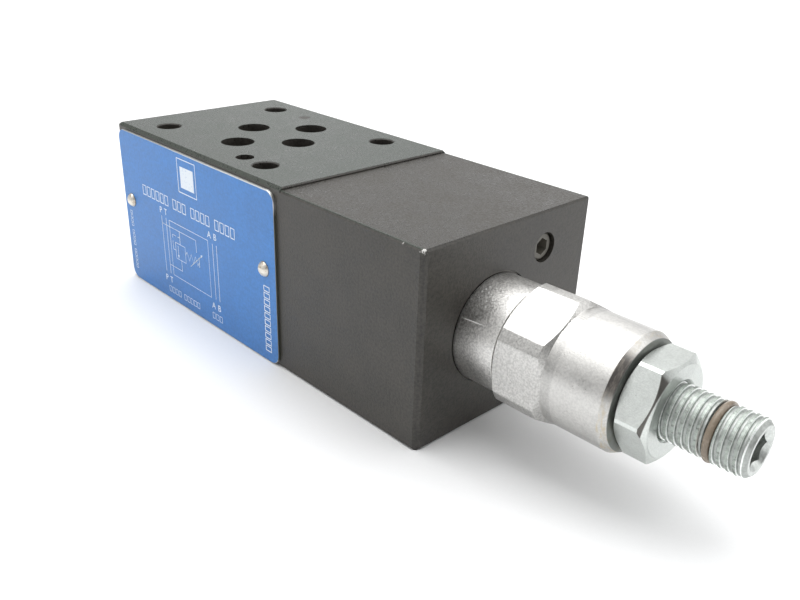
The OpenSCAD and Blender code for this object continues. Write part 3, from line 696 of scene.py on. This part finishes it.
def bar(name, low, high, radius, steps, start=0.0):
    """A solid bar on the cartridge axis."""
    return turned(name, [(low, 0.0), (low, radius), (high, radius), (high, 0.0)], steps, start)


def change(piece, kind, **settings):
    """Adds a modifier, sets it up and applies it."""
    take_up(piece)
    modifier = piece.modifiers.new(kind.title(), kind)
    for name, value in settings.items():
        setattr(modifier, name, value)
    bpy.ops.object.modifier_apply(modifier=modifier.name)
    return piece


def coiled(piece, rise, turns, steps, **settings):
    """Winds a loop about the X axis."""
    settings.update(axis="X", angle=FULL_TURN, screw_offset=rise, iterations=turns)
    return change(piece, "SCREW", steps=steps, render_steps=steps, **settings)


def combine(piece, tool, operation):
    """Joins a tool to a piece, cuts it out of it or keeps what they share, and removes the tool."""
    change(piece, "BOOLEAN", operation=operation, object=tool, solver="MANIFOLD")
    bpy.data.objects.remove(tool)
    bpy.context.scene.cursor.location = SORTING_POINT
    with whole_mesh():
        bpy.ops.mesh.sort_elements(type="CURSOR_DISTANCE", elements={"VERT", "EDGE", "FACE"})
    bpy.context.scene.cursor.location = (0.0, 0.0, 0.0)
    return piece


def weld(piece):
    """Merges the slivers that combining and bevelling leave."""
    take_up(piece)
    with whole_mesh():
        bpy.ops.mesh.remove_doubles(threshold=2 * SEAM)
        bpy.ops.mesh.dissolve_degenerate(threshold=SEAM)
    return piece


def smooth(degrees):
    """Shades the active piece smooth, apart from edges that are sharper than an angle."""
    bpy.ops.object.shade_smooth_by_angle(angle=math.radians(degrees))


def break_edges(piece, width, angle=20.0, welded=False):
    """Bevels the sharp edges, welds the slivers if asked and shades the rest smooth."""
    take_up(piece)
    sharp = math.radians(angle)
    with whole_mesh():
        bpy.ops.mesh.dissolve_limited(angle_limit=math.radians(0.5))
    rounding = {"width": width, "segments": 2, "limit_method": "ANGLE", "angle_limit": sharp}
    change(piece, "BEVEL", use_clamp_overlap=True, **rounding)
    if welded:
        weld(piece)
    smooth(angle)
    return change(piece, "WEIGHTED_NORMAL", keep_sharp=True)


def slab(name, low, high):
    """A block between two opposite corners."""
    piece = added(name, bpy.ops.mesh.primitive_cube_add, size=1.0, location=(low + high) / 2)
    piece.scale = high - low
    return settle(piece)


def wear(piece, material):
    """Gives a piece one finish."""
    piece.data.materials.clear()
    piece.data.materials.append(material)
    return piece


def seat(piece, material, body, slot, *replaced):
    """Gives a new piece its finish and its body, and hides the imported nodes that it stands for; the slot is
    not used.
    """
    wear(piece, material)
    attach(piece, body)
    if replaced:
        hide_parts(*replaced)
    return piece


def turned_hexagon(name, low, high, flats, corners, face, start=0.0):
    """A hexagon whose corners are turned down and whose ends are chamfered at 30 degrees."""
    drop = (corners - face) / 2 * math.tan(math.radians(30))
    piece = bar(name, low - MM, high + MM, flats / math.sqrt(3), 6, start)
    blank = turned(
        "chamfer_blank",
        [
            (low, 0.0), (low, face / 2), (low + drop, corners / 2),
            (high - drop, corners / 2), (high, face / 2), (high, 0.0),
        ],
    )
    return combine(piece, blank, "INTERSECT")


class VALVE_OT_block(Operator):
    """Coat the machined block and its passage plug"""

    bl_idname = "valve.block"
    bl_label = "Block"

    def execute(self, context):
        colours = context.scene.valve_look.colours
        wear(nodes["valve_body"], phosphated_iron(colours))
        wear(nodes["passage_plug"], oxide_steel(colours))
        return {"FINISHED"}


class VALVE_OT_nameplate(Operator):
    """Make the printed nameplate with its rounded corners and rivet holes"""

    bl_idname = "valve.nameplate"
    bl_label = "Nameplate"

    def execute(self, context):
        look = context.scene.valve_look
        sizes = look.plate
        plate = self.blank(sizes)
        for place in (plate_low.x + sizes.rivet_rear, plate_high.x - sizes.rivet_front):
            drill = added(
                "rivet_drill",
                bpy.ops.mesh.primitive_cylinder_add,
                vertices=48,
                radius=sizes.rivet_hole,
                depth=4 * (plate_high.y - plate_low.y),
                location=(place, plate_low.y, plate_low.z + sizes.rivet_height),
                rotation=FACING_OUT,
            )
            combine(plate, settle(drill), "DIFFERENCE")
        smooth(35)
        change(plate, "WEIGHTED_NORMAL", keep_sharp=True)
        seat(plate, blue_print(look.colours, sizes), "valve", "blue_plate", "nameplate")
        wear(nodes["nameplate_rivets"], bright_rivet(look.colours))
        return {"FINISHED"}

    def blank(self, sizes):
        """A slab with its four corners rounded and its front edge bevelled."""
        plate = slab("printed_plate", plate_low, plate_high)
        with whole_mesh():
            select_edges(plate, lambda a, b: abs(a.co.y - b.co.y) > MM / 10)
            bpy.ops.mesh.bevel(offset=sizes.corner, segments=10, affect="EDGES")
            select_edges(plate, lambda a, b: max(a.co.y, b.co.y) < plate_low.y + MM / 100)
            bpy.ops.mesh.bevel(offset=sizes.bevel, segments=3, affect="EDGES")
        return plate


# The relief valve's line symbol, in millimetres on the plate: along the body, and up
SYMBOL_LINES = [
    [(-12.6, 21.4), (-12.6, 7.2)],
    [(-10.6, 21.4), (-10.6, 7.2)],
    [(9.4, 21.0), (9.4, 7.4)],
    [(11.0, 21.0), (11.0, 7.4)],
    [(-9.2, 21.2), (7.5, 21.2), (7.5, 7.3), (-9.2, 7.3), (-9.2, 21.2)],
    [(-7.1, 16.3), (-2.8, 16.3), (-2.8, 12.3), (-7.1, 12.3), (-7.1, 16.3)],
    [(-12.6, 19.6), (2.3, 19.6), (2.3, 16.6)],
    [(-4.9, 19.6), (-4.9, 16.3)],
    [(-4.9, 12.3), (-4.9, 9.6), (-10.6, 9.6)],
    [(-6.0, 15.7), (-6.0, 13.4)],
    [(-4.9, 18.0), (-5.8, 18.0)],
    [(-6.5, 18.0), (-8.2, 18.0), (-8.2, 17.2)],
    [(-8.2, 16.4), (-8.2, 14.3), (-7.1, 14.3)],
    [
        (-2.8, 14.4), (-2.0, 15.4), (-1.1, 13.4), (-0.2, 15.4),
        (0.7, 13.4), (1.6, 15.4), (2.5, 13.4), (3.2, 14.4),
    ],
    [(3.2, 15.6), (3.2, 13.2)],
    [(-0.8, 12.2), (4.2, 16.2)],
]
# Frame and middle of the plain mark: two opposite corners each
MARK_FRAME = ((-3.3, 29.7), (4.2, 37.5))
MARK_MIDDLE = ((-2.2, 30.9), (3.3, 35.8))
# Rows of blank cells: first corner, cell size, step from cell to cell, cells in each group
LARGE_CELLS = [
    ((-20.6, 24.7), (1.4, 2.3), (2.05, 0.0), (6, 3, 4, 4)),
    ((28.6, 2.6), (1.9, 1.1), (0.0, 1.56), (10,)),
]
SMALL_CELLS = [
    ((-11.9, 2.2), (1.0, 1.4), (1.45, 0.0), (4, 5)),
    ((7.6, 2.2), (1.0, 1.4), (1.45, 0.0), (3,)),
    ((-28.5, 3.0), (0.9, 0.75), (0.0, 1.08), (5, 4, 4)),
]
ARROW_HEADS = [((-6.0, 13.1), 180.0), ((4.4, 16.4), -51.0)]
PORT_PLACES = [("P", -12.7), ("T", -10.5), ("A", 8.3), ("B", 10.6)]
PORT_LETTERS = [(sign, x, z) for z in (22.1, 4.8) for sign, x in PORT_PLACES]
# Gap between two groups of cells, in shares of the step from cell to cell
GROUP_GAP = 0.8


def cell_outlines(rows):
    """Closed outlines of every blank cell in some rows."""
    outlines = []
    for (x, z), (wide, high), (step_x, step_z), groups in rows:
        for cells in groups:
            for _ in range(cells):
                outlines.append([(x, z), (x + wide, z), (x + wide, z + high), (x, z + high), (x, z)])
                x, z = x + step_x, z + step_z
            x, z = x + GROUP_GAP * step_x, z + GROUP_GAP * step_z
    return outlines


class VALVE_OT_print(Operator):
    """Print the relief valve symbol, port letters and blank fields on the nameplate"""

    bl_idname = "valve.print"
    bl_label = "Plate print"

    def execute(self, context):
        look = context.scene.valve_look
        sizes = look.plate
        (left, low), (right, high) = MARK_FRAME
        frame_line = [(left, low), (right, low), (right, high), (left, high), (left, low)]
        inks = [
            self.drawn(SYMBOL_LINES, sizes.line, sizes.ink_h),
            self.drawn([frame_line, *cell_outlines(LARGE_CELLS)], sizes.cell_line, sizes.ink_h),
            self.drawn(cell_outlines(SMALL_CELLS), sizes.small_line, sizes.ink_h),
            self.filled(MARK_MIDDLE, sizes),
        ]
        inks += [self.arrow_head(place, angle, sizes) for place, angle in ARROW_HEADS]
        inks += [self.letter(sign, x, z, sizes) for sign, x, z in PORT_LETTERS]
        bpy.ops.object.select_all(action="DESELECT")
        for ink in inks:
            ink.select_set(True)
        bpy.context.view_layer.objects.active = inks[0]
        bpy.ops.object.join()
        with whole_mesh():
            bpy.ops.mesh.remove_doubles(threshold=SEAM / 10)
            turn_outwards()
        seat(inks[0], white_ink(look.colours), "valve", "blue_plate")
        return {"FINISHED"}

    def drawn(self, lines, width, height):
        """Flat ink lines, from round wires that are pressed onto the plate."""
        path = bpy.data.curves.new("plate_ink", "CURVE")
        path.dimensions = "3D"
        path.bevel_depth = width / 2
        path.bevel_resolution = 1
        path.use_fill_caps = True
        for line in lines:
            spline = path.splines.new("POLY")
            spline.points.add(len(line) - 1)
            for point, (x, z) in zip(spline.points, line):
                point.co = (x * MM, 0.0, z * MM, 1.0)
        wires = bpy.data.objects.new("plate_ink", path)
        bpy.context.scene.collection.objects.link(wires)
        take_up(wires)
        bpy.ops.object.convert(target="MESH")
        ink = named("plate_ink")
        ink.scale.y = 2 * height / width
        ink.location.y = plate_low.y
        return settle(ink)

    def filled(self, corners, sizes):
        """A filled field between two corners."""
        (left, foot), (right, head) = corners
        low = Vector((left * MM, plate_low.y - sizes.ink_h, foot * MM))
        high = Vector((right * MM, plate_low.y + sizes.ink_h, head * MM))
        return break_edges(slab("filled_field", low, high), sizes.ink_h / 2)

    def arrow_head(self, place, angle, sizes):
        """A slim triangle that points along an angle, in degrees from upright."""
        prism = {"vertices": 3, "radius": 3 * sizes.line, "depth": 2 * sizes.ink_h}
        head = added("arrow_head", bpy.ops.mesh.primitive_cylinder_add, **prism)
        head.matrix_world = (
            Matrix.Translation((place[0] * MM, plate_low.y, place[1] * MM))
            @ Matrix.Rotation(math.radians(-angle), 4, "Y")
            @ Matrix.Rotation(FACING_OUT[0], 4, "X")
            @ Matrix.Diagonal((0.7, 1.0, 1.0, 1.0))
        )
        return settle(head)

    def letter(self, sign, x, z, sizes):
        """A port's letter."""
        place = (x * MM, plate_low.y, z * MM)
        letter = added("letter", bpy.ops.object.text_add, location=place, rotation=FACING_OUT)
        letter.data.body = sign
        letter.data.size = sizes.letter
        letter.data.extrude = sizes.ink_h
        letter.data.align_x = "CENTER"
        bpy.ops.object.convert(target="MESH")
        return settle(named("port_letter_" + sign))


class VALVE_OT_bonnet(Operator):
    """Turn the bonnet: nose, shank with its seal groove, neck, hexagon and bevelled sleeve"""

    bl_idname = "valve.bonnet"
    bl_label = "Bonnet"

    def execute(self, context):
        look = context.scene.valve_look
        s = look.cartridge
        nose, end = bonnet_low.x, bonnet_high.x
        shoulder = nose + s.nose_l
        groove = shoulder + s.groove_at
        neck = shoulder + s.shank_l
        hexagon = neck + s.neck_l
        sleeve = hexagon + s.hex_l / 2
        chamber = end - s.end_wall
        bonnet = turned(
            "bonnet",
            [
                (nose, s.chamber_r), (nose, s.nose_r), (shoulder, s.nose_r), (shoulder, s.shank_r),
                (groove, s.shank_r), (groove, s.groove_r), (groove + s.groove_w, s.groove_r),
                (groove + s.groove_w, s.shank_r), (neck, s.shank_r), (neck, s.neck_r),
                (hexagon - s.undercut, s.neck_r), (hexagon - s.undercut, s.neck_r - s.undercut),
                (hexagon + MM, s.neck_r - s.undercut), (hexagon + MM, s.neck_r),
                (sleeve, s.neck_r), (sleeve, s.sleeve_r), (end - s.sleeve_bevel_l, s.sleeve_r),
                (end, s.sleeve_end_r), (end, s.thread_r), (chamber, s.thread_r), (chamber, s.chamber_r),
            ],
        )
        hex_end = hexagon + s.hex_l
        flats = turned_hexagon("bonnet_hexagon", hexagon, hex_end, s.hex_flats, s.hex_turned, s.hex_face)
        core = bar("hexagon_core", hexagon - MM, hex_end + MM, s.shank_r - MM, 48)
        combine(flats, core, "DIFFERENCE")
        combine(bonnet, flats, "UNION")
        break_edges(bonnet, s.edge)
        zinc = plated_bonnet(look.colours, hexagon / MM, hex_end / MM)
        seat(bonnet, zinc, "valve", "zinc_steel", "adjuster_bonnet")
        return {"FINISHED"}


class VALVE_OT_lock_nut(Operator):
    """Make the lock nut with its chamfered corners and countersunk thread"""

    bl_idname = "valve.lock_nut"
    bl_label = "Lock nut"

    def execute(self, context):
        look = context.scene.valve_look
        s = look.cartridge
        low, high = nut_low.x, nut_high.x
        whole = 1.02 * s.nut_flats * 2 / math.sqrt(3)
        nut = turned_hexagon(
            "plated_lock_nut", low, high, s.nut_flats, whole, s.nut_face, math.radians(30)
        )
        past = MM / 2
        mouth_r = s.thread_r + s.nut_sink + past
        drill = turned(
            "nut_drill",
            [
                (low - past, 0.0), (low - past, mouth_r), (low + s.nut_sink, s.thread_r),
                (high - s.nut_sink, s.thread_r), (high + past, mouth_r), (high + past, 0.0),
            ],
        )
        combine(nut, drill, "DIFFERENCE")
        corner_r = s.nut_flats / math.sqrt(3) - s.nut_corner * math.tan(math.radians(30)) / 2
        strips = bar("corner_strips", low - MM, high + MM, corner_r / math.cos(math.radians(30)), 6)
        combine(nut, strips, "INTERSECT")
        break_edges(nut, s.edge, welded=True)
        seat(nut, plated_nut(look.colours, s.nut_face / 2 / MM), "lock_nut", "zinc_nut", "lock_nut")
        return {"FINISHED"}


# Half of the thread's shape: shares of the pitch, and of the depth from root to crest
THREAD_FLANK = [(0.0, 0.0), (0.1, 0.0), (0.16, 0.08), (0.3, 0.95), (0.33, 1.0)]


class VALVE_OT_screw(Operator):
    """Roll the thread of the adjusting screw, with its ring groove and hex socket"""

    bl_idname = "valve.screw"
    bl_label = "Adjusting screw"

    def execute(self, context):
        look = context.scene.valve_look
        s = look.cartridge
        low, high = screw_low.x, screw_high.x
        ring = (ring_low.x + ring_high.x) / 2
        half = s.ring_groove_w / 2
        floor_r = ring_high.z - AXIS_Z - (ring_high.x - ring_low.x) - MM / 50
        screw = turned(
            "threaded_screw",
            [
                (low, 0.0), (low, s.screw_r - s.screw_bevel), (low + s.screw_bevel, s.screw_r),
                (ring - half, s.screw_r), (ring - half, floor_r),
                (ring + half, floor_r), (ring + half, s.screw_r),
                (high - s.screw_bevel, s.screw_r), (high, s.screw_r - s.screw_bevel), (high, 0.0),
            ],
        )
        combine(screw, self.rolled(low, high, s), "INTERSECT")
        socket_r = s.socket_flats / math.sqrt(3)
        key = bar("key_socket", high - s.socket_l, high + MM, socket_r, 6, math.radians(30))
        combine(screw, key, "DIFFERENCE")
        past = MM / 2
        slope = (s.socket_mouth - s.socket_flats / 2) / s.socket_sink
        mouth = turned(
            "socket_mouth",
            [
                (high - s.socket_sink, 0.0), (high - s.socket_sink, s.socket_flats / 2),
                (high + past, s.socket_flats / 2 + slope * (s.socket_sink + past)), (high + past, 0.0),
            ],
            steps=72,
        )
        weld(combine(screw, mouth, "DIFFERENCE"))
        smooth(28)
        seat(screw, plated_screw(look.colours), "adjusting_screw", "zinc_screw", "adjusting_screw")
        return {"FINISHED"}

    def rolled(self, low, high, s):
        """A rod with a right-hand thread that runs past both ends."""
        pitch, root_r, crest_r = s.thread_pitch, s.screw_r - s.thread_depth, s.screw_r + MM / 200
        shape = THREAD_FLANK + [(1.0 - x, r) for x, r in reversed(THREAD_FLANK)]
        start = low - 2 * pitch + s.thread_shift
        points = [(start + x * pitch, 0.0, root_r + r * (crest_r - root_r)) for x, r in shape]
        rod = outlined("rolled_rod", points)
        with whole_mesh():
            select_edges(rod, lambda a, b: abs(a.index - b.index) == len(shape) - 1)
            bpy.ops.mesh.delete(type="EDGE")
        turns = math.ceil((high - low) / pitch) + 4
        coiled(rod, pitch, turns, 96, use_merge_vertices=True, merge_threshold=SEAM)
        rod.location = (0.0, AXIS_Y, AXIS_Z)
        settle(rod)
        with whole_mesh():
            bpy.ops.mesh.remove_doubles(threshold=SEAM)
            bpy.ops.mesh.select_all(action="SELECT")
            bpy.ops.mesh.fill_holes(sides=0)
            bpy.ops.mesh.select_all(action="DESELECT")
            bpy.ops.mesh.select_face_by_sides(number=4, type="GREATER")
            bpy.ops.mesh.poke()
            turn_outwards()
        return rod


# How far the poppet and the adjusting screw squeeze the spring
POPPET_TRAVEL, SCREW_TRAVEL = 1.5 * MM, 5.63 * MM
# Rise of a closed coil, in radii of the wire
CLOSED_RISE = 2.03


class VALVE_OT_spring(Operator):
    """Wind the relief spring in two parts: the front coils by the poppet and the rear coils by the screw"""

    bl_idname = "valve.spring"
    bl_label = "Relief spring"

    def execute(self, context):
        look = context.scene.valve_look
        s = look.cartridge
        wire = turned_steel("spring_wire", look.colours.spring_steel)
        cut = self.place(s.front_coils, s)
        for name, first, last, end, joint, travel in (
            ("spring_front", 0, s.front_coils, spring_low.x, "poppet_lift", POPPET_TRAVEL),
            ("spring_rear", s.front_coils, s.coils, spring_high.x, "screw_advance", SCREW_TRAVEL),
        ):
            part = seat(self.wound(name, first, last, s), wire, "valve", "spring_steel", "relief_spring")
            1.0 - travel / abs(end - cut)
            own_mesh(part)
        return {"FINISHED"}

    def pitches(self, s):
        """Rise of a closed coil and of an open one."""
        closed = CLOSED_RISE * s.wire_r
        travel = spring_high.x - spring_low.x - 2 * s.wire_r
        return closed, (travel - 2 * closed) / (s.coils - 2)

    def place(self, turn, s):
        """Place of the wire's middle along the axis after some turns."""
        closed, opened = self.pitches(s)
        rise = min(turn, 1.0) * closed + max(0.0, min(turn - 1.0, s.coils - 2.0)) * opened
        return spring_low.x + s.wire_r + rise + max(0.0, turn - s.coils + 1.0) * closed

    def wound(self, name, first, last, s):
        """The coils from one whole turn to another."""
        sides, steps = 14, 32
        opened = self.pitches(s)[1]
        angles = [FULL_TURN * k / sides for k in range(sides)]
        ring = [(s.wire_r * math.sin(a), 0.0, s.coil_r + s.wire_r * math.cos(a)) for a in angles]
        part = coiled(outlined(name, ring), opened, last - first, steps)
        for vertex in part.data.vertices:
            turn = vertex.index // sides / steps
            vertex.co.x += self.place(first + turn, s) - turn * opened
        part.location = (0.0, AXIS_Y, AXIS_Z)
        settle(part)
        with whole_mesh():
            bpy.ops.mesh.fill_holes(sides=0)
            turn_outwards()
        smooth(40)
        return part


class VALVE_OT_inner(Operator):
    """Finish the cartridge's inner pieces and all sealing rings"""

    bl_idname = "valve.inner"
    bl_label = "Inner pieces and seals"

    def execute(self, context):
        colours = context.scene.valve_look.colours
        steel = turned_steel("ground_steel", colours.ground_steel)
        black = soft_ring("black_rubber", colours.black_rubber, 0.45)
        plastic = soft_ring("ring_plastic", colours.ring_plastic, 0.5)
        brown = soft_ring("brown_rubber", colours.brown_rubber, 0.26)
        for material, names in (
            (steel, ("valve_cage", "valve_seat", "poppet", "front_spring_plate", "adjuster_piston")),
            (black, ("port_o_rings", "cage_o_ring", "piston_o_ring", "bonnet_o_ring")),
            (plastic, ("cage_backup_ring", "bonnet_backup_ring")),
            (brown, ("screw_o_ring",)),
        ):
            for name in names:
                wear(nodes[name], material)
        return {"FINISHED"}


# Lights of the tent: degrees round from the screw's direction, degrees up, watts
TENT_LIGHTS = [
    (0, 90, 10.3), (0, 57, 1.5), (60, 57, 4.9), (120, 57, 7.0), (180, 57, 9.7), (240, 57, 6.1),
    (45, 24, 5.3), (110, 10, 2.6), (135, 24, 2.1), (158, 12, 1.7), (225, 24, 2.35), (270, 24, 1.85),
]


class VALVE_OT_stage(Operator):
    """Set the pale floor, the soft light and the camera"""

    bl_idname = "valve.stage"
    bl_label = "Stage"

    def execute(self, context):
        scene = context.scene
        s = scene.valve_look.stage
        round_floor = {"vertices": 64, "radius": s.floor_r, "fill_type": "NGON"}
        floor = added("floor", bpy.ops.mesh.primitive_circle_add, **round_floor)
        wear(floor, studio_floor(s.floor_shade))
        self.light_room(scene, s)
        for lamp in TENT_LIGHTS:
            self.add_light(s, *lamp)
        bpy.ops.object.camera_add(location=s.eye, rotation=s.turn)
        camera = bpy.context.object
        camera.data.lens = s.lens
        camera.data.shift_x, camera.data.shift_y = s.shift
        camera.data.clip_start = 0.01
        scene.camera = camera
        scene.view_settings.view_transform = "Standard"
        return {"FINISHED"}

    def add_light(self, s, azimuth, elevation, power):
        """A soft round light of the tent, which looks at the valve."""
        around, up = math.radians(azimuth), math.radians(elevation)
        away = Vector((math.cos(around) * math.cos(up), math.sin(around) * math.cos(up), math.sin(up)))
        middle = (cad_low + cad_high) / 2
        bpy.ops.object.light_add(type="AREA", location=middle + s.tent_r * away)
        lamp = bpy.context.object
        lamp.rotation_euler = away.to_track_quat("Z", "Y").to_euler()
        lamp.data.shape = "DISK"
        lamp.data.size = s.lamp_d
        lamp.data.energy = s.tent * power

    def light_room(self, scene, s):
        """A plain, evenly lit room."""
        room = bpy.data.worlds.new("room")
        scene.world = room
        room.use_nodes = True
        glow = room.node_tree.nodes["Background"]
        glow.inputs["Color"].default_value = (1.0, 1.0, 1.0, 1.0)
        glow.inputs["Strength"].default_value = s.room


STEPS = (
    VALVE_OT_block,
    VALVE_OT_nameplate,
    VALVE_OT_print,
    VALVE_OT_bonnet,
    VALVE_OT_lock_nut,
    VALVE_OT_screw,
    VALVE_OT_spring,
    VALVE_OT_inner,
    VALVE_OT_stage,
)


class VALVE_PT_look(Panel):
    """Lists the steps that dress the valve"""

    bl_label = "Sandwich valve"
    bl_idname = "VALVE_PT_look"
    bl_space_type = "VIEW_3D"
    bl_region_type = "UI"
    bl_category = "Valve"

    def draw(self, context):
        for step in STEPS:
            self.layout.operator(step.bl_idname)


CLASSES = (FinishColours, CartridgeSizes, PlateSizes, StageSizes, ValveLook, *STEPS, VALVE_PT_look)


def register():
    for kind in CLASSES:
        bpy.utils.register_class(kind)
    bpy.types.Scene.valve_look = PointerProperty(type=ValveLook)


def unregister():
    del bpy.types.Scene.valve_look
    for kind in reversed(CLASSES):
        bpy.utils.unregister_class(kind)


def main():
    register()
    bpy.ops.valve.block()
    bpy.ops.valve.nameplate()
    bpy.ops.valve.print()
    bpy.ops.valve.bonnet()
    bpy.ops.valve.lock_nut()
    bpy.ops.valve.screw()
    bpy.ops.valve.spring()
    bpy.ops.valve.inner()
    bpy.ops.valve.stage()


if __name__ == "__main__":
    main()
